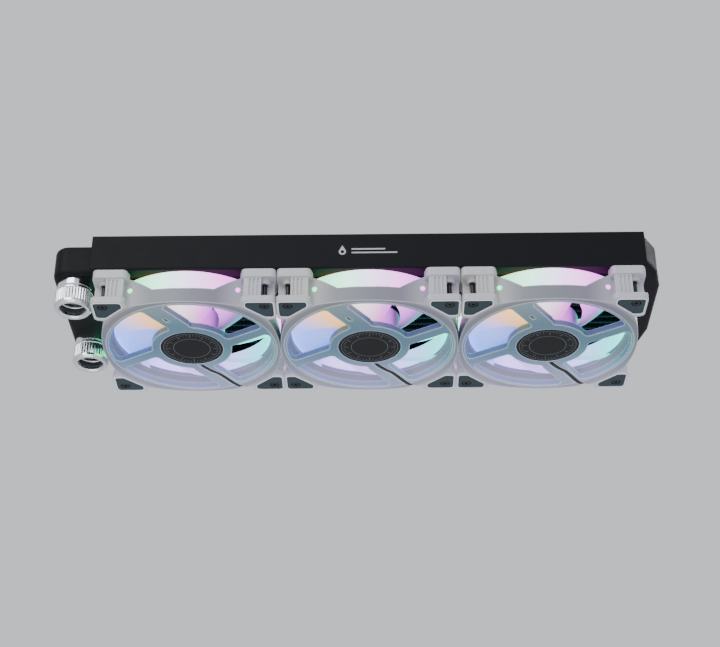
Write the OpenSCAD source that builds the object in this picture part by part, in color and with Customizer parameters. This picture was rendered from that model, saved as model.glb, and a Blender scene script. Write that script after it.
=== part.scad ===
// Liquid cooling radiator with three 120 mm lit fans and two hard-tube fittings.
// +X runs along the radiator away from the ports, +Y away from the near side, +Z up to the case.
// The origin is the centre of the middle fan's screw pattern, on the face that meets the case.

/* [Radiator] */
// Thickness from the face that meets the case to the face that meets the fans
rad_h = 27; // [27:1:45]
// Width over the two side channels
rad_w = 120; // [120:0.5:124]
// Sheet thickness of the side channels
channel_t = 1.2; // [1:0.1:1.4]
// Number of flat coolant tubes in the core
tube_n = 12; // [8:1:14]
// Thickness of one flat coolant tube
tube_t = 1.8; // [1.4:0.1:2.2]
// Distance between two folds of a fin strip
fin_pitch = 6; // [4:0.5:8]
// Length of the port tank beyond the core
port_tank_l = 27.5; // [27:0.5:32]
// Length of the return tank beyond the core
return_tank_l = 13.5; // [12:0.5:20]
// Distance of each port from the long axis
port_y = 36; // [34:0.5:37]

/* [Fittings] */
// Outside diameter of the hard tube that the fittings take
hard_tube_d = 16; // [14:2:16]
// Outside diameter of the screwed collar
collar_d = 25; // [25:0.5:26]
// How far the collar travels when it is unscrewed
collar_travel = 3; // [2:0.5:3.5]

/* [Fans] */
// Depth of a fan
fan_h = 25; // [25:0.5:27]
// Distance between two screws of a fan
screw_pitch = 105; // [105:1:105]
// Number of impeller blades
blade_n = 7; // [7:1:11]
// Radius over the blade tips
blade_r = 51.8; // [50:0.1:52]

/* [Fan leads] */
// Diameter of a fan lead
lead_d = 3; // [2.6:0.1:3]

/* [Hidden] */
$fn = 96;
eps = 0.01;
fan_pitch = 120;
fan_x = [-fan_pitch, 0, fan_pitch];
fan_names = ["left", "middle", "right"];
fan_w = 119.7;
fan_z = -rad_h - fan_h;
corner = screw_pitch / 2;

// Core and side channels
channel_x = [-182, 181];
channel_lip = 9.2;
core_w = 99.6;
core_d = 20;
core_z = -12.75;
tank_z = [-24.5, -1];
header_t = 1.5;
fin_h = (core_w - tube_n * tube_t) / (tube_n + 1);
row_pitch = tube_t + fin_h;
core_x = [channel_x[0] + header_t + 0.5, channel_x[1] - header_t - 0.5];
wall = 1.3;
tap_r = 1.55;
boss_r = 2.9;
boss_h = 2;

// Ports and fittings, measured down from the tank's underside
port_x = -195.5;
port_r = 6.55;
port_boss_r = 9.5;
port_boss_h = 8;
stem_r = 6.5;
flange_r = 11.4;
flange_h = 4.6;
thread_r = 11;
base_l = 12.5;
socket_r = hard_tube_d / 2 + 0.1;
socket_stop = 4;
collar_top = 5.2;
collar_end = 19;
ferrule_top = 12.7;
ferrule_l = 3.2;

// Fan frame
duct_r = 52.8;
mouth_r = 55.7;
face_r = 57.6;
shell_r = 59.85;
side_r = 112;
shell_h = 10.5;
face_t = 4.4;
hub_r = 27;
label_r = 21;
lug = 22;
lug_low_h = 4.5;
lug_high_z = 19;
pad_depth = 2.2;
strut_wide = [[-21.5, -50.5], [-7, -29.5]];
strut_thin = [[47, -20], [29.5, -9]];
slot_at = [-13, -36.5];

// Fan motor
cup_r = 21.5;
cup_z = [6.4, 23];
shaft_r = 1.5;
bearing_r = 4.4;
stator_r = 15.2;
stator_z = [7.5, 13.5];
board_z = 3.6;

// Route of a fan lead in its fan's frame, from the hub along the strut to its socket
lead_route = [
    [5, 24.6, 1.9], [7.5, 28, 1.8], [11, 32, 1.8], [15, 35.6, 1.8], [18, 39.6, 1.8],
    [20.8, 44, 1.8], [23.8, 48.6, 1.8], [26.8, 52.4, 1.9], [29.4, 55, 2.5], [31.4, 56.4, 3.9],
    [31.4, 56.4, 5.35]
];
socket_at = [26.95, 53.6, 5.4];
socket_size = [9, 6, 7.6];

// ---- helpers ----

// Outline of polygon p with every corner rounded to radius r
function rounded(p, r, n = 6) = [
    for (i = [0:len(p) - 1])
        let (a = p[(i + len(p) - 1) % len(p)], b = p[i], c = p[(i + 1) % len(p)],
             u = (a - b) / norm(a - b), v = (c - b) / norm(c - b),
             half = acos(u * v) / 2,
             m = b + (u + v) / norm(u + v) * r / sin(half),
             s = b + u * r / tan(half) - m,
             e = b + v * r / tan(half) - m,
             a0 = atan2(s[1], s[0]),
             d = atan2(e[1], e[0]) - a0,
             turn = d > 180 ? d - 360 : d < -180 ? d + 360 : d)
        for (k = [0:n]) m + r * [cos(a0 + turn * k / n), sin(a0 + turn * k / n)]
];

// Rectangle from a to b as four corners
function rect(a, b) = [[a[0], a[1]], [b[0], a[1]], [b[0], b[1]], [a[0], b[1]]];

// The four screw places of a fan, as signs
corners = [for (sx = [-1, 1], sy = [-1, 1]) [sx, sy]];

module at_fans() {
    for (x = fan_x) translate([x, 0, fan_z]) children();
}

module at_fan(i) {
    translate([fan_x[i], 0, fan_z]) children();
}

module at_corners() {
    for (c = corners) translate([c[0] * corner, c[1] * corner, 0]) children();
}

module ring(r_in, r_out, h) {
    difference() {
        cylinder(r = r_out, h = h);
        translate([0, 0, -1]) cylinder(r = r_in, h = h + 2);
    }
}

// A solid whose plan is polygon p, with its upper and lower edges rounded to radius r
module pebble(p, r_corner, z0, z1, r, n = 4) {
    hull() for (k = [0:n], low = [true, false])
        let (a = 90 * k / n, inset = r * (1 - sin(a)), drop = r * (1 - cos(a)))
        translate([0, 0, low ? z0 + drop : z1 - drop - eps])
            linear_extrude(eps)
                polygon(rounded(shrunk(p, inset), r_corner - inset * 0.5, 5));
}

// A convex polygon, each corner moved inwards by d along both of its sides
function shrunk(p, d) = [
    for (i = [0:len(p) - 1])
        let (a = p[(i + len(p) - 1) % len(p)], b = p[i], c = p[(i + 1) % len(p)],
             u = (a - b) / norm(a - b), v = (c - b) / norm(c - b))
        b + (u + v) * d / sin(acos(u * v))
];

// ---- radiator ----

channel_profile = [[-rad_w / 2, 0], [-rad_w / 2 + channel_lip, 0],
    [-rad_w / 2 + channel_lip, -channel_t], [-rad_w / 2 + channel_t, -channel_t],
    [-rad_w / 2 + channel_t, -rad_h + channel_t], [-rad_w / 2 + channel_lip, -rad_h + channel_t],
    [-rad_w / 2 + channel_lip, -rad_h], [-rad_w / 2, -rad_h]];

// The near side channel: a folded sheet with tapped bosses for the fans and for the case
module side_channel() {
    hole_x = [for (x = fan_x, s = [-1, 1]) x + s * corner];
    difference() {
        union() {
            translate([channel_x[0], 0, 0]) rotate([90, 0, 90])
                linear_extrude(channel_x[1] - channel_x[0]) intersection() {
                    polygon(channel_profile);
                    polygon(rounded(rect([-rad_w / 2, -rad_h], [0, 0]), 1.6));
                }
            for (x = hole_x, z = [-channel_t - boss_h, -rad_h + channel_t])
                translate([x, -corner, z - eps]) cylinder(r = boss_r, h = boss_h + 2 * eps);
        }
        for (x = hole_x, z = [-channel_t - boss_h - 1, -rad_h - 1])
            translate([x, -corner, z]) cylinder(r = tap_r, h = channel_t + boss_h + 2);
    }
}

module near_side_channel() {
    color("#17181b") side_channel();
}

module far_side_channel() {
    color("#17181b") mirror([0, 1, 0]) side_channel();
}

module core_side_plates() {
    color("#1b1c1f") for (s = [-1, 1])
        translate([core_x[0] + 0.1, s > 0 ? core_w / 2 : -core_w / 2 - 0.98, core_z - 9.3])
            cube([core_x[1] - core_x[0] - 0.2, 0.98, 18.6]);
}

// Section of a flat coolant tube, wall g inside its outside surface
module tube_section(g = 0) {
    r = tube_t / 2 - g;
    square([2 * r, core_d - tube_t], center = true);
    for (s = [-1, 1]) translate([0, s * (core_d - tube_t) / 2]) circle(r = r, $fn = 32);
}

function row_y(i) = -core_w / 2 + fin_h + tube_t / 2 + i * row_pitch;

module at_tubes(x0) {
    for (i = [0:tube_n - 1]) translate([x0, row_y(i), core_z]) rotate([90, 0, 90]) children();
}

module coolant_tubes() {
    color("#202124") at_tubes(channel_x[0] - 0.7)
        linear_extrude(channel_x[1] - channel_x[0] + 1.4) difference() {
            tube_section();
            tube_section(0.25);
        }
}

// One corrugated strip, folded between y 0 and y fin_h
module fin_strip() {
    t = 0.16;
    gap = 0.03;
    l = core_x[1] - core_x[0] - 0.4;
    n = floor(l / fin_pitch) * 2;
    top = [for (i = [0:n]) [i * fin_pitch / 2, i % 2 == 0 ? gap + t : fin_h - gap]];
    low = [for (i = [n:-1:0]) [i * fin_pitch / 2, i % 2 == 0 ? gap : fin_h - gap - t]];
    translate([core_x[0] + (l - n * fin_pitch / 2) / 2 + 0.2, 0, core_z - core_d / 2])
        linear_extrude(core_d) polygon(concat(top, low));
}

module fin_strips() {
    color("#26272a") for (i = [0:tube_n])
        translate([0, -core_w / 2 + i * row_pitch, 0]) fin_strip();
}

module header_plate() {
    difference() {
        translate([0, -50.4, tank_z[0]]) cube([header_t, 100.8, tank_z[1] - tank_z[0]]);
        at_tubes(-1) linear_extrude(header_t + 2) tube_section(-0.02);
    }
}

module header_plates() {
    color("#1d1e21") {
        translate([channel_x[0] + 0.5, 0, 0]) header_plate();
        translate([channel_x[1] - header_t - 0.5, 0, 0]) header_plate();
    }
}

port_tank_plan = rect([channel_x[0] + 0.5 - port_tank_l, -50.4], [channel_x[0] + 0.5, 50.4]);

module port_tank() {
    x1 = channel_x[0] + 0.5;
    color("#1a1b1e") difference() {
        intersection() {
            pebble([port_tank_plan[0], [x1 + 12, -50.4], [x1 + 12, 50.4], port_tank_plan[3]],
                9, tank_z[0], tank_z[1], 3.6);
            translate([-300, -60, -60]) cube([300 + x1, 120, 80]);
        }
        translate([0, 0, tank_z[0] + wall]) linear_extrude(tank_z[1] - tank_z[0] - 2 * wall)
            polygon(rounded(rect([x1 - port_tank_l + wall, -50.4 + wall], [x1 + 30, 50.4 - wall]), 7));
        for (s = [-1, 1]) translate([port_x, s * port_y, tank_z[0] - 1])
            cylinder(r = port_boss_r + 0.02, h = wall + 2);
    }
}

module tank_divider() {
    x1 = channel_x[0] + 0.5;
    color("#8d7b4f") translate([x1 - port_tank_l + wall + 0.02, -0.6, tank_z[0] + wall + 0.02])
        cube([port_tank_l - wall - 0.04, 1.2, tank_z[1] - tank_z[0] - 2 * wall - 0.04]);
}

module return_tank() {
    x0 = channel_x[1] - 0.5;
    l = return_tank_l;
    plan = [[x0 + 0.52, -58.5], [x0 + l * 0.72, -44], [x0 + l, -28],
        [x0 + l, 28], [x0 + l * 0.72, 44], [x0 + 0.52, 58.5]];
    color("#1a1b1e") difference() {
        union() {
            intersection() {
                pebble([[x0 - 8.7, -73], plan[1], plan[2], plan[3], plan[4], [x0 - 8.7, 73]],
                    5, tank_z[0], tank_z[1], 3.2);
                translate([x0 + 0.52, -80, -60]) cube([60, 160, 80]);
            }
            translate([x0, -50.4, tank_z[0] + 0.6]) cube([1, 100.8, tank_z[1] - tank_z[0] - 1.2]);
        }
        translate([x0 + 0.52 + wall, 0, tank_z[0] + wall])
            linear_extrude(tank_z[1] - tank_z[0] - 2 * wall)
            polygon(rounded([[0, -54], [l * 0.72 - 2.6, -42.5], [l - 0.6 - 2 * wall, -27],
                [l - 0.6 - 2 * wall, 27], [l * 0.72 - 2.6, 42.5], [0, 54]], 1));
        translate([x0 - 1, -50.4 + wall, tank_z[0] + 1.5])
            cube([6, 100.8 - 2 * wall, tank_z[1] - tank_z[0] - 3]);
    }
}

module port_bosses() {
    color("#15161a") for (s = [-1, 1]) translate([port_x, s * port_y, tank_z[0]])
        ring(port_r, port_boss_r, port_boss_h);
}

// Printed mark on the near side channel: a drop and two bars
module side_badge() {
    color("#c9ccd2") translate([0, -rad_w / 2, -14]) rotate([90, 0, 0]) linear_extrude(0.12) {
        translate([-17, -0.6]) difference() {
            union() {
                circle(r = 2.4, $fn = 48);
                polygon([[-2.1, 1.15], [0, 5], [2.1, 1.15]]);
            }
            circle(r = 1.2, $fn = 32);
        }
        for (k = [0, 1]) translate([-11, -1.9 + 2.8 * k]) square([k == 0 ? 30 : 22, 1.1]);
    }
}

// ---- fittings ----

// Puts children below each port, with z running down from the tank's underside
module at_port(s) {
    translate([port_x, s * port_y, tank_z[0]]) mirror([0, 0, 1]) children();
}

module fitting_base() {
    difference() {
        rotate_extrude() polygon([
            [4.4, -5], [stem_r, -5], [stem_r, 0], [flange_r, 0], [flange_r, flange_h - 0.5],
            [flange_r - 0.5, flange_h], [thread_r - 0.6, flange_h], [thread_r - 0.6, flange_h + 1.2],
            [thread_r, flange_h + 1.6], [thread_r, base_l - 0.6], [thread_r - 0.6, base_l],
            [socket_r + 0.7, base_l], [socket_r, base_l - 0.7], [socket_r, socket_stop], [4.4, socket_stop]
        ]);
        rotate_extrude() translate([7.6, 0]) square([1.8, 1.5]);
        for (z = [6.4, 9.4]) translate([0, 0, z]) ring(socket_r - 0.5, socket_r + 1.3, 1.5);
    }
}

module fitting_bases() {
    color("#c8ccd2") for (s = [-1, 1]) at_port(s) fitting_base();
}

module o_ring(r, section) {
    rotate_extrude() translate([r, 0]) circle(r = section, $fn = 32);
}

module fitting_seals() {
    color("#101113") for (s = [-1, 1]) at_port(s) {
        translate([0, 0, 0.74]) o_ring(8.5, 0.7);
        for (z = [7.15, 10.15]) translate([0, 0, z]) o_ring(socket_r + 0.65, 0.62);
    }
}

module ferrule() {
    color("#2a2b2e") translate([0, 0, ferrule_top]) rotate_extrude() polygon([
        [socket_r, 0], [thread_r - 0.4, 0], [thread_r - 0.4, ferrule_l - 1.2],
        [thread_r - 1.4, ferrule_l], [socket_r, ferrule_l]
    ]);
}

module collar() {
    r = collar_d / 2;
    color("#d6d9de") rotate_extrude() polygon([
        [thread_r + 0.05, collar_top], [r - 0.7, collar_top], [r, collar_top + 0.7],
        [r, collar_end - 1.2], [r - 1.2, collar_end], [socket_r + 1.3, collar_end],
        [socket_r + 0.3, collar_end - 1], [socket_r + 0.3, ferrule_top + ferrule_l + 0.1],
        [thread_r - 1.2, ferrule_top + ferrule_l + 0.1], [thread_r - 0.2, ferrule_top + ferrule_l - 1.2],
        [thread_r - 0.2, base_l + 0.2], [thread_r + 0.05, base_l + 0.2]
    ]);
}

module near_ferrule() { at_port(-1) ferrule(); }
module far_ferrule() { at_port(1) ferrule(); }
module near_collar() { at_port(-1) collar(); }
module far_collar() { at_port(1) collar(); }

// ---- fan frame ----

// Square of a corner lug, rounded, with its outer corner at the frame's corner
module lug_plan(inset = 0) {
    e = fan_w / 2 - inset;
    polygon(rounded([[e, e], [e - lug + inset, e], [e - lug - 2 + 2 * inset, e - 8],
        [e - 8, e - lug - 2 + 2 * inset], [e, e - lug + inset]], 3.4 - inset * 0.5));
}

// Pad pocket of a corner, a rounded triangle
module pad_plan(g = 0) {
    e = fan_w / 2 - 1.5 - g;
    d = 18.3 - 2 * g;
    c = 6.2 - 2 * g;
    polygon(rounded([[e, e], [e - d, e], [e - d, e - c], [e - c, e - d], [e, e - d]], 2.6));
}

module at_lugs() {
    for (c = corners) mirror([c[0] < 0 ? 1 : 0, 0, 0]) mirror([0, c[1] < 0 ? 1 : 0, 0]) children();
}

// A straight strut of width w between points a and b, in plan
module strut(p, w) {
    d = (p[1] - p[0]) / norm(p[1] - p[0]);
    n = [-d[1], d[0]] * w / 2;
    polygon([p[0] - n - 8 * d, p[0] + n - 8 * d, p[1] + n + 3 * d, p[1] - n + 3 * d]);
}

module struts_plan() {
    for (a = [0, 180]) rotate(a) {
        strut(strut_wide, 13.5);
        strut(strut_thin, 8);
    }
}

// The face: an outer ring, a hub disc and four struts, with their corners rounded
module face_plan() {
    difference() {
        circle(r = face_r);
        offset(r = 3) offset(delta = -3) difference() {
            circle(r = mouth_r);
            circle(r = hub_r);
            struts_plan();
        }
        translate(slot_at) rotate(55) square([5, 2.2], center = true);
    }
}

// Outline of the frame between its lugs: four wide arcs
module body_plan() {
    intersection_for(a = [0:90:270]) rotate(a) translate([shell_r - side_r, 0]) circle(r = side_r);
}

// Points along both sides of a path in plan, w apart
function strip(p, w) =
    let (m = len(p), n = [for (i = [0:m - 1])
        let (d = p[min(i + 1, m - 1)] - p[max(i - 1, 0)]) [-d[1], d[0]] / norm([d[0], d[1]]) * w / 2])
    concat([for (i = [0:m - 1]) [p[i][0], p[i][1]] + n[i]],
        [for (i = [m - 1:-1:0]) [p[i][0], p[i][1]] - n[i]]);

// Groove in the face and the frame's edge that holds the lead
module lead_groove() {
    ends = len(lead_route) - 2;
    start = [3, 22, 1.8];
    translate([0, 0, -1]) linear_extrude(4.5)
        polygon(strip(concat([start], [for (i = [0:ends - 1]) lead_route[i]], [[33.4, 58.6, 0]]), 3.6));
    translate([0, 0, -1]) linear_extrude(6.45)
        polygon(strip([[26.8, 52.4, 0], [29.4, 55, 0], [31.4, 56.4, 0], [34.6, 59.9, 0]], 3.8));
}

module lug_posts() {
    e = fan_w / 2 - 1;
    for (p = [rect([41, 43.5], [50.4, e]), rect([43.5, 41], [e, 50.4])])
        linear_extrude(fan_h - 1) difference() {
            polygon(p);
            circle(r = shell_r + 0.6);
        }
}

// One side wall between two lugs, outside the duct, rising towards the lugs
module side_wall() {
    roof = [[-44, 0], [44, 0], [44, 23.5], [39, 23], [28.5, 16.5], [20, shell_h + 0.2],
        [-20, shell_h + 0.2], [-28.5, 16.5], [-39, 23], [-44, 23.5]];
    intersection() {
        linear_extrude(fan_h) difference() {
            intersection() {
                body_plan();
                polygon([[0, 0], [70, 70], [-70, 70]]);
            }
            circle(r = shell_r - 1);
        }
        translate([0, 80, 0]) rotate([90, 0, 0]) linear_extrude(60) polygon(roof);
    }
}

module fan_face() {
    difference() {
        union() {
            linear_extrude(face_t) face_plan();
            cylinder(r = bearing_r + 1.6, h = 16);
        }
        translate([0, 0, -1]) cylinder(r = label_r + 0.1, h = 1.6);
        translate([0, 0, board_z - 0.6]) ring(bearing_r + 1.6, hub_r - 1.6, 10);
        translate([0, 0, 5]) cylinder(r = bearing_r, h = 30);
        lead_groove();
    }
}

module fan_frame() {
    difference() {
        union() {
            linear_extrude(face_t + 0.1) difference() {
                body_plan();
                circle(r = face_r + 0.02);
            }
            translate([0, 0, face_t + 0.02]) rotate_extrude() polygon([[face_r - 2.4, 0], [shell_r, 0],
                [shell_r, shell_h - face_t + 0.1], [duct_r, shell_h - face_t + 0.1], [duct_r, 3.6]]);
            for (a = [0:90:270]) rotate(a) side_wall();
            at_lugs() {
                linear_extrude(lug_low_h) difference() {
                    lug_plan();
                    circle(r = shell_r - 1);
                }
                translate([0, 0, lug_high_z]) linear_extrude(fan_h - lug_high_z) difference() {
                    lug_plan();
                    circle(r = shell_r - 1);
                }
                lug_posts();
                translate([corner, corner, lug_high_z - 3]) ring(2.15, 4, 3.1);
                for (k = [0, 1]) mirror([k, -k, 0]) translate([39, 46.5, 0])
                    cube([4, 12.3, fan_h - 5]);
            }
        }
        at_lugs() {
            translate([0, 0, -1]) linear_extrude(pad_depth + 1) pad_plan();
            translate([0, 0, fan_h - pad_depth]) linear_extrude(pad_depth + 1) pad_plan();
            translate([corner, corner, -1]) cylinder(r = 2.15, h = fan_h + 2);
            for (k = [0, 1], j = [0:2]) mirror([k, -k, 0])
                translate([42.5 + 2.6 * j, fan_w / 2 - 1.8, lug_low_h + 1]) cube([1.3, 3, 12.5]);
            difference() {
                translate([30, 30, shell_h]) cube([40, 40, 6]);
                translate([30, 30, 0]) cube([20.4, 40, 30]);
                translate([30, 30, 0]) cube([40, 20.4, 30]);
                translate([corner, corner, 0]) cylinder(r = 4.01, h = 30);
            }
        }
        translate([0, 0, shell_h - 4]) ring(54.4, 58.6, 10);
        translate([0, 0, shell_h]) cylinder(r = shell_r + 0.1, h = fan_h);
        translate(socket_at - [0.05, 0.1, 0.05]) cube(socket_size + [0.1, 2, 0.1]);
        lead_groove();
    }
}

module fan_light_ring() {
    color("#f4f6ff") translate([0, 0, shell_h + 0.05]) difference() {
        rotate_extrude() polygon([[duct_r, 0], [duct_r + 1.4, 0], [duct_r + 1.4, 12], [58.2, 12],
            [58.2, 0], [59.6, 0], [59.6, 12.4], [58.4, 13.9], [duct_r + 1.4, 13.9], [duct_r, 12.3]]);
    }
}

module fan_led_board() {
    color("#e9ecec") translate([0, 0, shell_h - 3.9]) ring(54.6, 58.4, 1);
    color("#fffbe8") for (a = [15:30:345]) rotate(a)
        translate([55.1, -1.4, shell_h - 2.88]) cube([2.8, 2.8, 1.3]);
}

module fan_corner_pads() {
    color("#34434b") at_lugs() {
        translate([0, 0, 0.35]) linear_extrude(pad_depth - 0.4) difference() {
            pad_plan(0.15);
            translate([corner, corner]) circle(r = 3.3, $fn = 48);
        }
        translate([0, 0, fan_h - pad_depth + 0.05]) linear_extrude(pad_depth - 0.1) difference() {
            pad_plan(0.15);
            translate([corner, corner]) circle(r = 2.2, $fn = 48);
        }
    }
}

// ---- fan rotor and motor ----

// Angle, in degrees, and height of a blade at share s of its chord and radius r
blade_root = 20.6;
blade_sweep = 38;
blade_chord = 41;
blade_phase = 14;
function blade_a(r, s) =
    blade_phase - blade_sweep * pow((r - blade_root) / (blade_r - blade_root), 1.1) + blade_chord * s;
function blade_z(r, s) =
    let (k = (r - blade_root) / (blade_r - blade_root), top = 21.2 - 2.6 * k)
    6.4 + 0.8 * k + (top - 6.4 - 0.8 * k) * (s - 0.22 * sin(180 * s));
function blade_t(r, s) =
    (1.5 - 0.5 * (r - blade_root) / (blade_r - blade_root)) * (0.25 + 0.75 * pow(sin(180 * s), 0.6)) / 2;

module blade() {
    stations = 5;
    chord = 6;
    loop = 2 * chord;
    function share(j) = j <= chord ? j / chord : (loop - j) / chord;
    points = [for (i = [0:stations], j = [0:loop - 1])
        let (r = blade_root + (blade_r - blade_root) * i / stations, s = share(j),
             side = j == 0 || j == chord ? 0 : j < chord ? 1 : -1, a = blade_a(r, s))
        [r * cos(a), r * sin(a), blade_z(r, s) + side * blade_t(r, s)]];
    faces = concat(
        [for (i = [0:stations - 1], j = [0:loop - 1], half = [0, 1])
            let (a = i * loop + j, b = i * loop + (j + 1) % loop, c = a + loop, d = b + loop)
            half == 0 ? [a, b, c] : [b, d, c]],
        [[for (j = [loop - 1:-1:0]) j]],
        [[for (j = [0:loop - 1]) stations * loop + j]]
    );
    polyhedron(points, faces, convexity = 4);
}

module fan_impeller() {
    color("#eef1fb") {
        rotate_extrude($fn = 60) polygon([[0, cup_z[1]], [18.5, cup_z[1]], [20.6, cup_z[1] - 0.9],
            [cup_r, cup_z[1] - 3], [cup_r, cup_z[0]], [19.9, cup_z[0]], [19.9, cup_z[1] - 1.7],
            [3.2, cup_z[1] - 1.7], [3.2, cup_z[1] - 4.5], [shaft_r, cup_z[1] - 4.5],
            [shaft_r, cup_z[1] - 1.6], [0, cup_z[1] - 1.6]]);
        for (k = [0:blade_n - 1]) rotate(k * 360 / blade_n) blade();
    }
}

module fan_rotor_rings() {
    color("#8f9296") translate([0, 0, cup_z[0] + 0.3]) ring(18.9, 19.85, 13.5);
    color("#3a3c40") translate([0, 0, cup_z[0] + 0.6]) ring(16, 18.85, 11.5);
}

module fan_shaft() {
    color("#c9ccd0") translate([0, 0, 5.1]) cylinder(r = shaft_r, h = cup_z[1] - 1.7 - 5.1);
}

module fan_stator_core() {
    color("#9a9ca0") translate([0, 0, stator_z[0]]) linear_extrude(stator_z[1] - stator_z[0])
        difference() {
            union() {
                circle(r = 8.4);
                for (a = [0:90:270]) rotate(a) translate([6, -1.7]) square([8, 3.4]);
                for (a = [0:90:270]) rotate(a) intersection() {
                    difference() {
                        circle(r = stator_r);
                        circle(r = stator_r - 2);
                    }
                    polygon([[0, 0], [20, -14], [20, 14]]);
                }
            }
            circle(r = bearing_r + 1.65);
        }
}

module fan_windings() {
    color("#b3693a") for (a = [0:90:270]) rotate(a) difference() {
        translate([8.7, -3.9, stator_z[0] - 1.9]) cube([4, 7.8, stator_z[1] - stator_z[0] + 3.8]);
        translate([8, -1.75, stator_z[0] - 0.05]) cube([6, 3.5, stator_z[1] - stator_z[0] + 0.1]);
    }
}

module fan_motor_board() {
    color("#1f5a3a") translate([0, 0, board_z - 0.5]) difference() {
        ring(bearing_r + 1.7, 19.2, 1);
    }
    color("#141518") for (a = [20, 110, 200]) rotate(a) translate([12, -1.5, board_z + 0.52])
        cube([3, 3, 0.9]);
}

module hub_labels() {
    color("#121315") at_fans() cylinder(r = label_r, h = 0.58);
}

module bearings() {
    color("#b08d4a") at_fans() translate([0, 0, 5]) ring(shaft_r + 0.05, bearing_r - 0.02, 11);
}

module fan_screws() {
    color("#1c1d20") at_fans() at_corners() difference() {
        union() {
            translate([0, 0, 0.5]) cylinder(r1 = 2.5, r2 = 2.85, h = 0.6);
            translate([0, 0, 1.1]) cylinder(r = 2.85, h = pad_depth - 1.12);
            translate([0, 0, pad_depth - 0.03]) cylinder(r = 1.5, h = 30);
        }
        for (a = [0, 90]) rotate(a) translate([-1.6, -0.4, 0]) cube([3.2, 0.8, 1.5]);
    }
}

// ---- fan leads ----

function unit(v) = v / norm(v);

// Sweeps a tube of diameter d with n sides along the points of path p
module swept(p, d, n = 8) {
    m = len(p);
    tangent = [for (i = [0:m - 1]) unit(p[min(i + 1, m - 1)] - p[max(i - 1, 0)])];
    frames = [for (t = tangent)
        let (u = unit(cross(t, abs(t[0]) > 0.8 ? [0, 1, 0] : [1, 0, 0]))) [u, cross(t, u)]];
    points = [for (i = [0:m - 1], k = [0:n - 1])
        p[i] + d / 2 * (frames[i][0] * cos(360 * k / n) + frames[i][1] * sin(360 * k / n))];
    faces = concat(
        [for (i = [0:m - 2], k = [0:n - 1], half = [0, 1])
            let (a = i * n + k, b = i * n + (k + 1) % n)
            half == 0 ? [a, a + n, b] : [b, a + n, b + n]],
        [[for (k = [0:n - 1]) k]],
        [[for (k = [n - 1:-1:0]) (m - 1) * n + k]]
    );
    polyhedron(points, faces, convexity = 8);
}

module fan_lead() {
    color("#0f1012") swept(lead_route, lead_d - 0.1);
}

// Socket in the frame's far edge, open to +Y, with four pins
module fan_lead_socket() {
    color("#17181a") translate(socket_at) difference() {
        cube(socket_size);
        translate([1, 1.4, 1.6]) cube([socket_size[0] - 2, socket_size[1], socket_size[2] - 3]);
    }
    color("#d8b25a") for (k = [0:3])
        translate(socket_at + [1.6 + 1.8 * k, 1, socket_size[2] / 2]) cube([0.6, 4.4, 0.6]);
}

// ---- one line for each node ----

near_side_channel();
far_side_channel();
core_side_plates();
coolant_tubes();
fin_strips();
header_plates();
port_tank();
tank_divider();
return_tank();
port_bosses();
fitting_bases();
fitting_seals();
near_ferrule();
far_ferrule();
near_collar();
far_collar();
side_badge();
fan_screws();
hub_labels();
bearings();
for (i = [0:2]) {
    at_fan(i) color("#e8eaee") fan_frame();
    at_fan(i) color("#dfe4ea") fan_face();
    at_fan(i) fan_light_ring();
    at_fan(i) fan_led_board();
    at_fan(i) fan_corner_pads();
    at_fan(i) fan_impeller();
    at_fan(i) fan_rotor_rings();
    at_fan(i) fan_shaft();
    at_fan(i) fan_stator_core();
    at_fan(i) fan_windings();
    at_fan(i) fan_motor_board();
    at_fan(i) fan_lead();
    at_fan(i) fan_lead_socket();
}
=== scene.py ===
"""Looks of the liquid cooling radiator: three lit fans under a slim black radiator."""
import math
import bmesh
import bpy
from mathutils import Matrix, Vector


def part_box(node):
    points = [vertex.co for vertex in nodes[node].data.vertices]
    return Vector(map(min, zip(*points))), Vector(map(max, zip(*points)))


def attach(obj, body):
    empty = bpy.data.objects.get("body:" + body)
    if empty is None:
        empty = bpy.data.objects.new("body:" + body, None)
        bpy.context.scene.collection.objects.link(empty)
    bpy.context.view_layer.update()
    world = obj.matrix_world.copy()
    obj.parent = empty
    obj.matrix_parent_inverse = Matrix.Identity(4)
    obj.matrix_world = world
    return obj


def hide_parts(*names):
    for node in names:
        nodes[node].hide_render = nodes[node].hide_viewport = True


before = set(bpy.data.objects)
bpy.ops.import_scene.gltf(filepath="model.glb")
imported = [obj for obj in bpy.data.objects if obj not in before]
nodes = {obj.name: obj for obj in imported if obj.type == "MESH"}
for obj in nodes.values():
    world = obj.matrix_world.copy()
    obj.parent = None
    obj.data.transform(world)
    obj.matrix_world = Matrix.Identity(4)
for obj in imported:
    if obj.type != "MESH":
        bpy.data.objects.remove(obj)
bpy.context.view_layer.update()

MM = 0.001
FANS = ("left", "middle", "right")
NEAR_FAR = ("near", "far")
FRAME_BOX = {fan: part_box(f"{fan}_frame") for fan in FANS}
FAN_X = {fan: (box[0].x + box[1].x) / 2 for fan, box in FRAME_BOX.items()}
FAN_FACE = FRAME_BOX["middle"][0].z
FAN_HALF = (FRAME_BOX["middle"][1].x - FRAME_BOX["middle"][0].x) / 2

# The camera stands below the near side and looks up at the fans
CAMERA_PLACE = (0.008, -0.91, -0.581)
CAMERA_AIM = Vector((-0.0065, 0.004, -0.031))
CAMERA_LENS = 78
FLOOR_Z = -0.75
FLOOR_SIZE = 14

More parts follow.
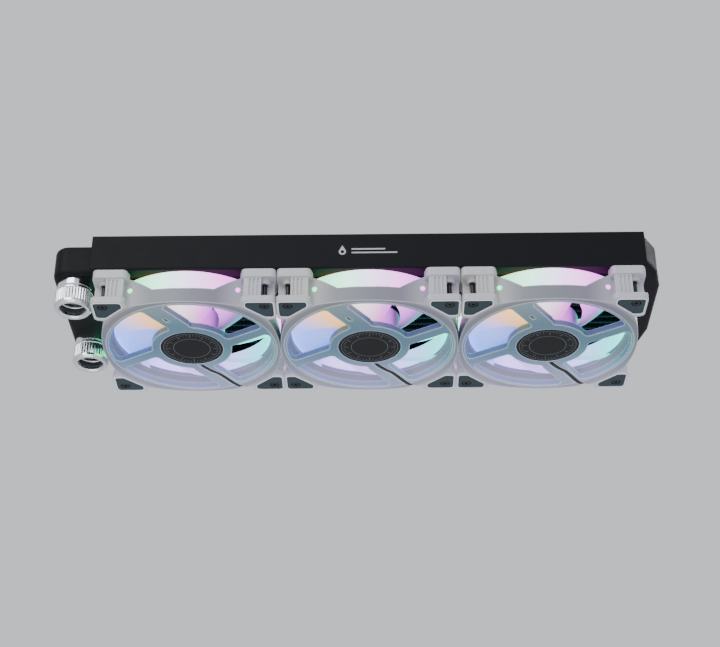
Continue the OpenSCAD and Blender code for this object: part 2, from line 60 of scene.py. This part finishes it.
# The colours of the light round a fan, by turns from +X towards +Y; the dark stop at 0.90 is a painted
# shadow, the shaded gap behind a blade
LIGHT = (
    (0.00, (0.04, 0.90, 0.62)), (0.09, (0.10, 0.66, 0.70)), (0.20, (0.46, 0.32, 0.92)),
    (0.32, (0.50, 0.38, 0.95)), (0.44, (0.14, 0.28, 0.98)), (0.54, (0.22, 0.30, 0.98)),
    (0.61, (1.00, 0.48, 0.14)), (0.67, (1.00, 0.84, 0.24)), (0.73, (1.00, 0.84, 0.86)),
    (0.80, (1.00, 0.22, 0.94)), (0.86, (0.58, 0.10, 0.78)), (0.90, (0.10, 0.04, 0.18)),
    (0.95, (0.05, 0.26, 0.30)), (1.00, (0.04, 0.90, 0.62)),
)

# The colours of the lit windows in a fan's long sides, from the left end to the right
WINDOW = (
    (0.00, (0.12, 0.96, 0.38)), (0.30, (0.42, 1.00, 0.72)), (0.55, (0.80, 0.58, 1.00)),
    (0.78, (1.00, 0.26, 0.96)), (1.00, (0.86, 0.10, 0.86)),
)

# The colour of the painted light that glows over the far half of a fan's plastic
FAR_LIGHT = (0.74, 0.64, 1.00)

# Where each kind of light starts and where it is full: by distance from the fan's axis, or along Y
NEAR_RING = (30 * MM, 58 * MM)
FAR_HALF = (-4 * MM, 40 * MM)
BLADE_LIGHT = (20 * MM, 50 * MM)
RING_OUTSIDE = (58.5 * MM, 59.2 * MM)
LUG_PAINTED_LIGHT = (61.5 * MM, 66 * MM)
WINDOW_HALF = 36 * MM


# ---- camera, light and stage ----

def make_camera():
    data = bpy.data.cameras.new("camera")
    data.lens = CAMERA_LENS
    camera = bpy.data.objects.new("camera", data)
    bpy.context.scene.collection.objects.link(camera)
    camera.location = CAMERA_PLACE
    camera.rotation_euler = (CAMERA_AIM - camera.location).to_track_quat("-Z", "Y").to_euler()
    bpy.context.scene.camera = camera


def area_light(name, place, aim, size, power, colour=(1, 1, 1)):
    data = bpy.data.lights.new(name, "AREA")
    data.shape = "RECTANGLE"
    data.size, data.size_y = size
    data.energy = power
    data.color = colour
    light = bpy.data.objects.new(name, data)
    bpy.context.scene.collection.objects.link(light)
    light.location = place
    light.rotation_euler = (Vector(aim) - Vector(place)).to_track_quat("-Z", "Y").to_euler()


def make_studio():
    area_light("key", (-0.7, -1.3, 0.7), (0, 0, -0.02), (1.1, 0.7), 12)
    area_light("front", (0.5, -1.5, -0.45), (0, 0, -0.03), (1.2, 0.5), 6, (0.94, 0.97, 1.0))
    area_light("rim", (0.9, 1.1, 0.9), (0, 0, 0), (0.8, 0.8), 12)
    area_light("below", (-0.3, -0.2, -0.7), (0, 0, -0.05), (0.9, 0.6), 2.2, (0.86, 0.93, 1.0))
    world = bpy.data.worlds.new("studio")
    bpy.context.scene.world = world
    world.use_nodes = True
    background = world.node_tree.nodes["Background"]
    background.inputs["Color"].default_value = (0.80, 0.82, 0.85, 1)
    background.inputs["Strength"].default_value = 0.95


def make_floor():
    bpy.ops.mesh.primitive_plane_add(size=FLOOR_SIZE, location=(0, 0, FLOOR_Z))
    floor = bpy.context.object
    floor.name = "floor"
    shader = Shader("floor_paint", (0.78, 0.79, 0.80), 0.6)
    shader.grain(40, 0.02, 0.00005)
    floor.data.materials.append(shader.material)


# ---- materials ----

BEVEL_SAMPLES = 4
# Grain: the fine noise's share of it, and how much larger the slow cloud is
FINE_SHARE = 0.6
CLOUD_SIZE = 25

class Shader:
    """A Principled material in object space, with small steps that add one kind of detail each."""

    def __init__(self, name, colour, rough, metal=0.0):
        self.material = bpy.data.materials.new(name)
        self.material.use_nodes = True
        self.tree = self.material.node_tree
        self.bsdf = self.tree.nodes["Principled BSDF"]
        self.colour = colour
        self.rough = rough
        self.set("Base Color", (*colour, 1))
        self.set("Roughness", rough)
        self.set("Metallic", metal)
        self.place = self.tree.nodes.new("ShaderNodeTexCoord").outputs["Object"]
        self.normal = None

    def set(self, socket, value):
        self.bsdf.inputs[socket].default_value = value

    def link(self, source, target):
        self.tree.links.new(source, target)

    def math(self, operation, a, b=None):
        node = self.tree.nodes.new("ShaderNodeMath")
        node.operation = operation
        for socket, value in zip(node.inputs, (a, b)):
            if value is None:
                continue
            if isinstance(value, (int, float)):
                socket.default_value = value
            else:
                self.link(value, socket)
        return node.outputs[0]

    def noise(self, scale, detail, stretch=None):
        node = self.tree.nodes.new("ShaderNodeTexNoise")
        node.inputs["Scale"].default_value = scale
        node.inputs["Detail"].default_value = detail
        place = self.place
        if stretch:
            mapping = self.tree.nodes.new("ShaderNodeMapping")
            mapping.inputs["Scale"].default_value = stretch
            self.link(place, mapping.inputs["Vector"])
            place = mapping.outputs["Vector"]
        self.link(place, node.inputs["Vector"])
        return node.outputs["Fac"]

    def blend(self, share, low, high):
        """A colour between low and high, each a colour or an output."""
        node = self.tree.nodes.new("ShaderNodeMix")
        node.data_type = "RGBA"
        self.link(share, node.inputs["Factor"])
        for socket, value in ((node.inputs[6], low), (node.inputs[7], high)):
            if isinstance(value, tuple):
                socket.default_value = (*value, 1)
            else:
                self.link(value, socket)
        return node.outputs[2]

    def span(self, value, low, high, to_low=0.0, to_high=1.0):
        node = self.tree.nodes.new("ShaderNodeMapRange")
        self.link(value, node.inputs["Value"])
        for socket, number in zip(list(node.inputs)[1:5], (low, high, to_low, to_high)):
            socket.default_value = number
        return node.outputs[0]

    def rounded_edges(self, radius):
        node = self.tree.nodes.new("ShaderNodeBevel")
        node.samples = BEVEL_SAMPLES
        node.inputs["Radius"].default_value = radius
        self.normal = node.outputs["Normal"]
        self.link(self.normal, self.bsdf.inputs["Normal"])
        return self

    def bump(self, height, depth):
        node = self.tree.nodes.new("ShaderNodeBump")
        node.inputs["Distance"].default_value = depth
        self.link(height, node.inputs["Height"])
        if self.normal:
            self.link(self.normal, node.inputs["Normal"])
        self.normal = node.outputs["Normal"]
        self.link(self.normal, self.bsdf.inputs["Normal"])
        return self

    def grain(self, scale, tone, depth, rough=0.08, stretch=None):
        """Fine variation of tone, gloss and height at one scale, and a slow cloud over it."""
        fine = self.noise(scale, 4, stretch)
        slow = self.noise(scale / CLOUD_SIZE, 2)
        dark = tuple(c * (1 - tone) for c in self.colour)
        light = tuple(min(1, c * (1 + tone)) for c in self.colour)
        fine_part = self.math("MULTIPLY", fine, FINE_SHARE)
        both = self.math("ADD", fine_part, self.math("MULTIPLY", slow, 1 - FINE_SHARE))
        self.link(self.blend(both, dark, light), self.bsdf.inputs["Base Color"])
        gloss = self.span(both, 0.3, 0.7, self.rough - rough, self.rough + rough)
        self.link(gloss, self.bsdf.inputs["Roughness"])
        return self.bump(fine, depth)

    def polar(self, centre_x):
        """Turns round a fan's axis from +X towards +Y, and the distance from the axis."""
        shift = self.tree.nodes.new("ShaderNodeVectorMath")
        shift.operation = "SUBTRACT"
        shift.inputs[1].default_value = (centre_x, 0, 0)
        self.link(self.place, shift.inputs[0])
        parts = self.tree.nodes.new("ShaderNodeSeparateXYZ")
        self.link(shift.outputs[0], parts.inputs[0])
        x, y = parts.outputs[0], parts.outputs[1]
        angle = self.math("DIVIDE", self.math("ARCTAN2", y, x), math.tau)
        turn = self.math("FRACT", self.math("ADD", angle, 1.0))
        square = self.math("ADD", self.math("MULTIPLY", x, x), self.math("MULTIPLY", y, y))
        return turn, self.math("SQRT", square)

    def light_colour(self, turn, ramp=LIGHT):
        node = self.tree.nodes.new("ShaderNodeValToRGB")
        stops = node.color_ramp.elements
        while len(stops) < len(ramp):
            stops.new(0.5)
        for stop, (place, colour) in zip(stops, ramp):
            stop.position = place
            stop.color = (*colour, 1)
        self.link(turn, node.inputs["Fac"])
        return node.outputs["Color"]

    def lit_edges(self, radius, colour, strength):
        """Painted highlight: paler colour along the edges, where a moulding's thin rim catches the light.
        """
        bevel = self.tree.nodes.new("ShaderNodeBevel")
        bevel.samples = BEVEL_SAMPLES
        bevel.inputs["Radius"].default_value = radius
        flat = self.tree.nodes.new("ShaderNodeNewGeometry")
        dot = self.tree.nodes.new("ShaderNodeVectorMath")
        dot.operation = "DOT_PRODUCT"
        self.link(bevel.outputs["Normal"], dot.inputs[0])
        self.link(flat.outputs["Normal"], dot.inputs[1])
        edge = self.span(dot.outputs["Value"], 0.995, 0.86, 0.0, strength)
        base = self.bsdf.inputs["Base Color"]
        self.link(self.blend(edge, base.links[0].from_socket, colour), base)
        return self

    def glow(self, colour, strength):
        """Lets the surface give light. strength is a number, or an output to scale it by."""
        if isinstance(strength, (int, float)):
            self.set("Emission Strength", strength)
            self.link(colour, self.bsdf.inputs["Emission Color"])
        else:
            self.link(self.blend(strength, (0.0, 0.0, 0.0), colour), self.bsdf.inputs["Emission Color"])
            self.set("Emission Strength", 1.0)
        return self


def paint(name, colour, rough):
    """Fine satin powder coat."""
    shader = Shader(name, colour, rough)
    shader.set("Specular IOR Level", 0.13)
    return shader.rounded_edges(0.0006).grain(2600, 0.22, 0.00003, 0.07).material


def parts_of(shader):
    """The x, y and z of the place being shaded."""
    parts = shader.tree.nodes.new("ShaderNodeSeparateXYZ")
    shader.link(shader.place, parts.inputs[0])
    return parts.outputs


def across(shader, fan):
    """Share of the way along a fan from its left side to its right."""
    return shader.span(parts_of(shader)[0], FAN_X[fan] - WINDOW_HALF, FAN_X[fan] + WINDOW_HALF)


def spill(shader, fan, near, far):
    """Painted light: a glow of the ring's colours in the plastic around it, near the duct, and all over
    the far half.
    """
    turn, distance = shader.polar(FAN_X[fan])
    near_ring = shader.span(distance, *NEAR_RING, 0.01, near)
    back = shader.span(parts_of(shader)[1], *FAR_HALF)
    strength = shader.math("MAXIMUM", near_ring, shader.math("MULTIPLY", back, far))
    shader.glow(shader.blend(back, shader.light_colour(turn), FAR_LIGHT), strength)


def frame_plastic(fan):
    """Pale grey plastic, with painted light: a little of the ring's light as a glow near the duct and
    over the far half, painted highlights on its edges, and paler lugs.
    """
    shader = Shader(f"{fan}_frame_plastic", (0.17, 0.185, 0.22), 0.4)
    shader.rounded_edges(0.0007).grain(1800, 0.05, 0.000012, 0.06)
    shader.lit_edges(0.0011, (0.72, 0.76, 0.82), 0.9)
    # Painted light: the lugs at the outer corners turn paler, as lit tops beside walls in shade
    base = shader.bsdf.inputs["Base Color"]
    distance = shader.polar(FAN_X[fan])[1]
    lug_light = shader.span(distance, *LUG_PAINTED_LIGHT, 0.0, 0.85)
    shader.link(shader.blend(lug_light, base.links[0].from_socket, (0.50, 0.52, 0.55)), base)
    spill(shader, fan, 0.04, 0.22)
    return shader.material


def shaded_face_plastic(fan):
    """The same plastic over the struts, in a cooler, darker copy that paints the shade on this downward
    face, with painted highlights on its rims where its edges catch light.
    """
    shader = Shader(f"{fan}_shaded_face_plastic", (0.085, 0.19, 0.27), 0.34)
    shader.rounded_edges(0.0009).grain(1800, 0.06, 0.000012, 0.06)
    shader.lit_edges(0.0013, (0.78, 0.88, 0.94), 1.0)
    spill(shader, fan, 0.14, 0.34)
    return shader.material


def blade_plastic(fan):
    """Milky plastic that carries the light of the ring inwards, painted as a glow in the ring's colours,
    a little weaker towards the hub.
    """
    shader = Shader(f"{fan}_blade_plastic", (0.16, 0.16, 0.21), 0.26)
    shader.grain(900, 0.04, 0.000008, 0.05)
    turn, distance = shader.polar(FAN_X[fan])
    blade_glow = shader.span(distance, *BLADE_LIGHT, 0.62, 1.0)
    shader.glow(shader.light_colour(turn), blade_glow)
    shader.set("Emission Strength", 2.6)
    return shader.material


def diffuser(fan):
    """The light ring: the blades' colours inside the duct, the windows' colours outside."""
    shader = Shader(f"{fan}_diffuser", (0.20, 0.21, 0.25), 0.34)
    shader.rounded_edges(0.0005).grain(1200, 0.03, 0.00001, 0.05)
    turn, distance = shader.polar(FAN_X[fan])
    outside = shader.span(distance, *RING_OUTSIDE)
    window = shader.light_colour(across(shader, fan), WINDOW)
    colour = shader.blend(outside, shader.light_colour(turn), window)
    return shader.glow(colour, 3.0).material


def chrome():
    shader = Shader("chrome", (0.78, 0.80, 0.83), 0.16, 1.0)
    return shader.rounded_edges(0.0003).grain(700, 0.05, 0.000006, 0.05).material


def rubber(name, colour):
    return Shader(name, colour, 0.72).rounded_edges(0.0003).grain(3200, 0.25, 0.00004, 0.08).material


def moulded(name, colour, rough=0.45):
    return Shader(name, colour, rough).rounded_edges(0.0003).grain(2200, 0.12, 0.00002, 0.07).material


def label_film():
    """Smooth dark film with a faint weave, held back from mirroring the room."""
    shader = Shader("label_film", (0.005, 0.0055, 0.007), 0.42)
    shader.set("Specular IOR Level", 0.14)
    return shader.grain(2400, 0.15, 0.000008, 0.06).material


def metal(name, colour, rough, stretch=None):
    shader = Shader(name, colour, rough, 1.0)
    return shader.rounded_edges(0.0002).grain(1500, 0.10, 0.00001, 0.08, stretch).material


def windings():
    """Copper wire wound close, one turn every half millimetre."""
    shader = Shader("copper", (0.62, 0.27, 0.12), 0.32, 1.0)
    wave = shader.tree.nodes.new("ShaderNodeTexWave")
    wave.bands_direction = "Z"
    wave.inputs["Scale"].default_value = 320
    shader.link(shader.place, wave.inputs["Vector"])
    return shader.grain(900, 0.15, 0.00001).bump(wave.outputs["Fac"], 0.0002).material


def lamp(name, colour, strength):
    shader = Shader(name, colour, 0.25)
    shader.set("Emission Color", (*colour, 1))
    shader.set("Emission Strength", strength)
    return shader.material


# ---- mesh helpers ----

def piece(name, verts, faces, body, slot, material, smooth=True):
    mesh = bpy.data.meshes.new(name)
    mesh.from_pydata([tuple(v) for v in verts], [], faces)
    mesh.materials.append(material)
    made = bpy.data.objects.new(name, mesh)
    bpy.context.scene.collection.objects.link(made)
    work = bmesh.new()
    work.from_mesh(mesh)
    bmesh.ops.recalc_face_normals(work, faces=work.faces)
    work.to_mesh(mesh)
    work.free()
    for face in mesh.polygons:
        face.use_smooth = smooth
    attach(made, body)
    return made


def swept(path, radius, sides, closed=False):
    """Vertices and faces of a round tube along a path."""
    verts, faces = [], []
    count = len(path)
    side = Vector((0, 0, 1))
    for i, p in enumerate(path):
        a = path[(i - 1) % count] if closed or i else p
        b = path[(i + 1) % count] if closed or i < count - 1 else p
        along = (b - a).normalized()
        level = side.cross(along)
        if level.length < 0.2:
            level = Vector((1, 0, 0)).cross(along)
        level.normalize()
        up = along.cross(level)
        for k in range(sides):
            t = math.tau * k / sides
            verts.append(p + radius * (math.cos(t) * level + math.sin(t) * up))
    for i in range(count if closed else count - 1):
        for k in range(sides):
            a, b = i * sides + k, i * sides + (k + 1) % sides
            c, d = (a + sides) % len(verts), (b + sides) % len(verts)
            faces.append((a, b, d, c))
    if not closed:
        faces.append(tuple(range(sides)))
        faces.append(tuple(range((count - 1) * sides, count * sides)))
    return verts, faces


def joined(parts):
    """Several meshes as one list of vertices and one of faces."""
    verts, faces = [], []
    for more, loops in parts:
        start = len(verts)
        verts += list(more)
        faces += [tuple(start + i for i in loop) for loop in loops]
    return verts, faces


def smooth_path(points, steps):
    """A Catmull-Rom curve through points."""
    out = []
    for i in range(len(points) - 1):
        p0, p1 = points[max(i - 1, 0)], points[i]
        p2, p3 = points[i + 1], points[min(i + 2, len(points) - 1)]
        for k in range(steps):
            t = k / steps
            out.append(0.5 * (2 * p1 + (p2 - p0) * t + (2 * p0 - 5 * p1 + 4 * p2 - p3) * t * t
                              + (3 * p1 - p0 - 3 * p2 + p3) * t ** 3))
    return out + [points[-1]]


# ---- radiator core ----

# The coolant tubes that the fin strips lie between
TUBES = 12
TUBE_T = 1.8 * MM
# A fin strip: half a wave's length, its points, its sheet, its clearance, and how flat its tops are
FOLD = 1.7 * MM
FOLD_STEPS = 8
FIN_T = 0.1 * MM
FIN_CLEAR = 0.05 * MM
FIN_FLAT = 1.35


def fine_fins(material):
    """Folded strips at the real pitch, each fold rounded at the tubes."""
    low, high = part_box("fin_strips")
    gap = (high.y - low.y - TUBES * TUBE_T) / (TUBES + 1)
    folds = int((high.x - low.x) / FOLD)
    parts = []
    for row in range(TUBES + 1):
        y0 = low.y + row * (gap + TUBE_T) + FIN_CLEAR
        line = []
        for i in range(folds * FOLD_STEPS + 1):
            turn = math.pi * i / FOLD_STEPS
            wave = max(-1, min(1, FIN_FLAT * math.cos(turn)))
            rise = (gap - 2 * FIN_CLEAR) * (0.5 + 0.5 * wave)
            line.append((low.x + FOLD * i / FOLD_STEPS, y0 + rise))
        verts = [Vector((x, y, z)) for x, y in line for z in (low.z, high.z)]
        faces = [(2 * i, 2 * i + 2, 2 * i + 3, 2 * i + 1) for i in range(len(line) - 1)]
        parts.append((verts, faces))
    made = piece("fine_fins", *joined(parts), "radiator", "core_paint", material, smooth=False)
    thick = made.modifiers.new("thickness", "SOLIDIFY")
    thick.thickness = FIN_T
    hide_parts("fin_strips")


# ---- fittings ----

# The collar's knurl
TEETH = 40
TOOTH_STEPS = 6
KNURL_DEPTH = 0.55 * MM
# Radii inside the collar: its mouth, the tube's way, the ferrule's seat, the thread and its relief
MOUTH_R = 9.4 * MM
WAY_R = 8.4 * MM
SEAT_R = 9.8 * MM
THREAD_R = 10.8 * MM
RELIEF_R = 11.05 * MM


def knurled_collar(side, material):
    """The screwed collar, with a straight knurl between two plain rims."""
    low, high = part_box(f"{side}_collar")
    centre = (low + high) / 2
    outer = (high.x - low.x) / 2
    z0, z1 = low.z, high.z
    # Each point's radius, its height, and whether the knurl cuts it
    profile = [
        (outer - 1.45 * MM, z1, 0), (outer - 0.7 * MM, z1, 0), (outer - 0.1 * MM, z1 - 0.6 * MM, 0),
        (outer, z1 - 1.4 * MM, 0), (outer, z1 - 2.0 * MM, 0), (outer - 0.1 * MM, z1 - 2.3 * MM, 1),
        (outer - 0.1 * MM, z0 + 2.9 * MM, 1), (outer, z0 + 2.6 * MM, 0), (outer, z0 + 1.3 * MM, 0),
        (outer - 1.2 * MM, z0, 0), (MOUTH_R, z0, 0), (WAY_R, z0 + 1.0 * MM, 0),
        (WAY_R, z0 + 3.0 * MM, 0), (SEAT_R, z0 + 3.0 * MM, 0),
        (THREAD_R, z0 + 4.3 * MM, 0), (THREAD_R, z0 + 6.3 * MM, 0), (RELIEF_R, z0 + 6.3 * MM, 0),
    ]
    steps = TEETH * TOOTH_STEPS
    verts, faces = [], []
    for radius, z, cut in profile:
        for k in range(steps):
            wave = 0.5 + 0.5 * math.cos(math.tau * k / TOOTH_STEPS)
            r = radius - cut * KNURL_DEPTH * wave
            a = math.tau * k / steps
            verts.append(Vector((centre.x + r * math.cos(a), centre.y + r * math.sin(a), z)))
    rows = len(profile)
    for i in range(rows):
        for k in range(steps):
            a, b = i * steps + k, i * steps + (k + 1) % steps
            c, d = (i + 1) % rows * steps + k, (i + 1) % rows * steps + (k + 1) % steps
            faces.append((a, b, d, c))
    made = piece(f"{side}_knurled_collar", verts, faces, f"{side}_collar_body", "chrome", material, False)
    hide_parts(f"{side}_collar")


# ---- fan details ----

# A lead's route in millimetres from its fan's axis and face, the same as in the CAD part
LEAD_ROUTE = (
    (5, 24.6, 1.9), (7.5, 28, 1.8), (11, 32, 1.8), (15, 35.6, 1.8), (18, 39.6, 1.8), (20.8, 44, 1.8),
    (23.8, 48.6, 1.8), (26.8, 52.4, 1.9), (29.4, 55, 2.5), (31.4, 56.4, 3.9), (31.4, 56.4, 5.35),
)
ROUTE_STEPS = 8
CORES = 4
CORE_R = 0.42 * MM
CORE_PITCH = 0.86 * MM
# Moves the flat wires from the middle of the round CAD lead to its lower side, which shows
LEAD_RISE = Vector((0, 0, -0.95 * MM))


def fan_lead(fan, material):
    """Four thin jacketed wires, side by side along the strut's groove."""
    start = Vector((FAN_X[fan], 0, FAN_FACE))
    route = smooth_path([start + Vector(p) * MM for p in LEAD_ROUTE], ROUTE_STEPS)
    parts = []
    for core in range(CORES):
        line = []
        for i, p in enumerate(route):
            a = route[max(i - 1, 0)]
            b = route[min(i + 1, len(route) - 1)]
            along = (b - a).normalized()
            level = along.cross(Vector((0, 0, 1)))
            if level.length < 0.3:
                level = Vector((0.7, 0.7, 0))
            level.normalize()
            line.append(p + LEAD_RISE + CORE_PITCH * (core - (CORES - 1) / 2) * level)
        parts.append(swept(line, CORE_R, 10))
    made = piece(f"{fan}_lead_wires", *joined(parts), "radiator", "lead_jacket", material)
    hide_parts(f"{fan}_lead")


def round_corner_loop(points, radius, steps=6):
    """A closed outline through points, with each corner rounded."""
    loop = []
    count = len(points)
    for i in range(count):
        a, b, c = points[i - 1], points[i], points[(i + 1) % count]
        u, v = (a - b).normalized(), (c - b).normalized()
        reach = radius / math.tan(u.angle(v) / 2)
        reach = min(reach, 0.45 * (a - b).length, 0.45 * (c - b).length)
        s, e = b + u * reach, b + v * reach
        for k in range(steps + 1):
            t = k / steps
            loop.append((1 - t) ** 2 * s + 2 * t * (1 - t) * b + t * t * e)
    return loop


# A corner pad's outline in millimetres: its inset, its long and short sides, its rounding; then the
# radius of the pale tube round it, a painted highlight
PAD_INSET = 1.2
PAD_LONG = 18.9
PAD_SHORT = 6.6
PAD_ROUND = 2.8 * MM
RIM_HIGHLIGHT_R = 0.40 * MM


def pad_rims(fan, material):
    """A thin pale tube round each corner pad, on the face that the camera sees: a painted highlight on
    the rim of the pad's pocket.
    """
    e = FAN_HALF / MM - PAD_INSET
    shape = [(e, e), (e - PAD_LONG, e), (e - PAD_LONG, e - PAD_SHORT),
             (e - PAD_SHORT, e - PAD_LONG), (e, e - PAD_LONG)]
    parts = []
    for sx in (-1, 1):
        for sy in (-1, 1):
            corners = [Vector((FAN_X[fan] + sx * x * MM, sy * y * MM, FAN_FACE)) for x, y in shape]
            parts.append(swept(round_corner_loop(corners, PAD_ROUND), RIM_HIGHLIGHT_R, 8, closed=True))
    piece(f"{fan}_pad_rims", *joined(parts), "radiator", "frame_plastic", material)


def dome(centre, outward, radius, height):
    """A shallow lens facing outward."""
    rings, sides = 5, 20
    level = outward.orthogonal().normalized()
    up = outward.cross(level)
    verts = [centre + outward * height]
    for i in range(1, rings + 1):
        t = math.pi / 2 * i / rings
        for k in range(sides):
            a = math.tau * k / sides
            flat = math.sin(t) * radius * (math.cos(a) * level + math.sin(a) * up)
            verts.append(centre + flat + outward * height * math.cos(t))
    faces = [(0, 1 + k, 1 + (k + 1) % sides) for k in range(sides)]
    for i in range(rings - 1):
        for k in range(sides):
            a, b = 1 + i * sides + k, 1 + i * sides + (k + 1) % sides
            faces.append((a, a + sides, b + sides, b))
    faces.append(tuple(range(1 + (rings - 1) * sides, 1 + rings * sides)))
    return verts, faces


# A fan's long side is an arc, and a lens stands on it at LENS_X from the fan's axis
SIDE_R = 112
SIDE_CENTRE = 52.25
LENS_X = 35
LENS_Y = (math.sqrt(SIDE_R ** 2 - LENS_X ** 2) - SIDE_CENTRE) * MM
LENS_UP = 12 * MM
LENS_R = 1.85 * MM
LENS_H = 1.1 * MM


def side_lenses(fan, green, pink):
    """The small lit lenses in both long sides of a fan: one green and one pink on each."""
    for sign, material, word in ((-1, green, "green"), (1, pink, "pink")):
        parts = []
        for sy in (-1, 1):
            centre = Vector((FAN_X[fan] + sign * LENS_X * MM, sy * LENS_Y, FAN_FACE + LENS_UP))
            parts.append(dome(centre, Vector((0, sy, 0)), LENS_R, LENS_H))
        piece(f"{fan}_{word}_lenses", *joined(parts), "radiator", "diffuser", material)


def flat_band(centre, r0, r1, turn0, turn1, z0, z1, steps):
    """A flat arc between two radii, as a thin closed solid."""
    verts, faces = [], []
    for i in range(steps + 1):
        a = math.tau * (turn0 + (turn1 - turn0) * i / steps)
        for r, z in ((r0, z0), (r1, z0), (r1, z1), (r0, z1)):
            verts.append(Vector((centre + r * math.cos(a), r * math.sin(a), z)))
    for i in range(steps):
        for k in range(4):
            a, b = 4 * i + k, 4 * i + (k + 1) % 4
            faces.append((a, b, b + 4, a + 4))
    return verts, faces + [(0, 1, 2, 3), tuple(range(4 * steps, 4 * steps + 4))]


# The hub label's print: two rings, and ticks of two lengths between them
RING_R = (18.9 * MM, 12.2 * MM)
RING_WIDE = 0.35 * MM
RING_STEPS = 72
TICKS = 48
LONG_TICK_R = 14.2 * MM
SHORT_TICK_R = 16.6 * MM
TICK_END_R = 17.8 * MM
TICK_TURN = 0.004
PRINT_PROUD = 0.04 * MM
PRINT_SUNK = 0.02 * MM


def label_print(fan, material):
    """Plain printed marks on the hub label: two thin rings, with ticks of two lengths between."""
    x = FAN_X[fan]
    z0, z1 = FAN_FACE - PRINT_PROUD, FAN_FACE + PRINT_SUNK
    parts = [flat_band(x, r, r + RING_WIDE, 0.0, 1.0, z0, z1, RING_STEPS) for r in RING_R]
    for k in range(TICKS):
        inner = LONG_TICK_R if k % 4 == 0 else SHORT_TICK_R
        turn = k / TICKS
        parts.append(flat_band(x, inner, TICK_END_R, turn, turn + TICK_TURN, z0, z1, 1))
    piece(f"{fan}_label_print", *joined(parts), "radiator", "badge_print", material, False)


# ---- everything ----

def cover(name, material):
    """Gives a CAD node its material."""
    mesh = nodes[name].data
    mesh.materials.clear()
    mesh.materials.append(material)


def radiator_looks(shine, core):
    """The material of each CAD node of the radiator and its fittings."""
    black = paint("radiator_paint", (0.0045, 0.005, 0.0068), 0.52)
    brass = metal("brass", (0.62, 0.46, 0.22), 0.35)
    ferrule = moulded("ferrule_plastic", (0.05, 0.05, 0.055))
    looks = {
        "near_side_channel": black, "far_side_channel": black, "core_side_plates": black,
        "header_plates": black, "port_tank": black, "return_tank": black, "port_bosses": black,
        "coolant_tubes": core, "tank_divider": brass, "fitting_bases": shine, "bearings": brass,
        "fitting_seals": rubber("rubber", (0.02, 0.02, 0.022)),
        "side_badge": moulded("badge_print", (0.40, 0.41, 0.44), 0.5),
        "fan_screws": metal("screw_steel", (0.05, 0.05, 0.055), 0.42),
        "hub_labels": label_film(),
    }
    for side in NEAR_FAR:
        looks[f"{side}_ferrule"] = ferrule
    return looks


def shared_fan_looks():
    """The material of each part that looks the same in all three fans."""
    return {
        "led_board": moulded("led_board", (0.82, 0.84, 0.84), 0.4),
        "corner_pads": rubber("pad_rubber", (0.018, 0.034, 0.046)),
        "rotor_rings": moulded("magnet", (0.1, 0.1, 0.11), 0.6),
        "shaft": metal("shaft_steel", (0.6, 0.61, 0.63), 0.25),
        "stator_core": metal("steel_laminations", (0.32, 0.32, 0.33), 0.4, (1, 1, 12)),
        "windings": windings(),
        "motor_board": moulded("circuit_board", (0.02, 0.12, 0.06), 0.35),
        "lead_socket": moulded("socket_plastic", (0.018, 0.018, 0.02)),
    }


def lit_fan_looks(fan):
    """The material of each part that carries one fan's own light."""
    return {
        "frame": frame_plastic(fan), "face": shaded_face_plastic(fan),
        "impeller": blade_plastic(fan), "light_ring": diffuser(fan),
    }


def dress():
    """Adds the detailed pieces, and gives every CAD node its material."""
    shine = chrome()
    core = paint("core_paint", (0.014, 0.015, 0.018), 0.4)
    looks = radiator_looks(shine, core)
    for side in NEAR_FAR:
        knurled_collar(side, shine)
    shared = shared_fan_looks()
    wire = moulded("lead_jacket", (0.014, 0.014, 0.016), 0.4)
    # Pale tubes round the corner pads: a painted highlight on their rims
    rim_highlight = moulded("rim_highlight_plastic", (0.90, 0.93, 0.96), 0.25)
    label_ink = moulded("label_ink", (0.11, 0.12, 0.14), 0.5)
    green = lamp("green_lens", (0.18, 1.0, 0.42), 2.2)
    pink = lamp("pink_lens", (1.0, 0.22, 0.92), 2.2)
    for fan in FANS:
        for part, material in {**shared, **lit_fan_looks(fan)}.items():
            looks[f"{fan}_{part}"] = material
        fan_lead(fan, wire)
        pad_rims(fan, rim_highlight)
        side_lenses(fan, green, pink)
        label_print(fan, label_ink)
    for name, material in looks.items():
        cover(name, material)
    fine_fins(core)


make_camera()
make_studio()
make_floor()
dress()
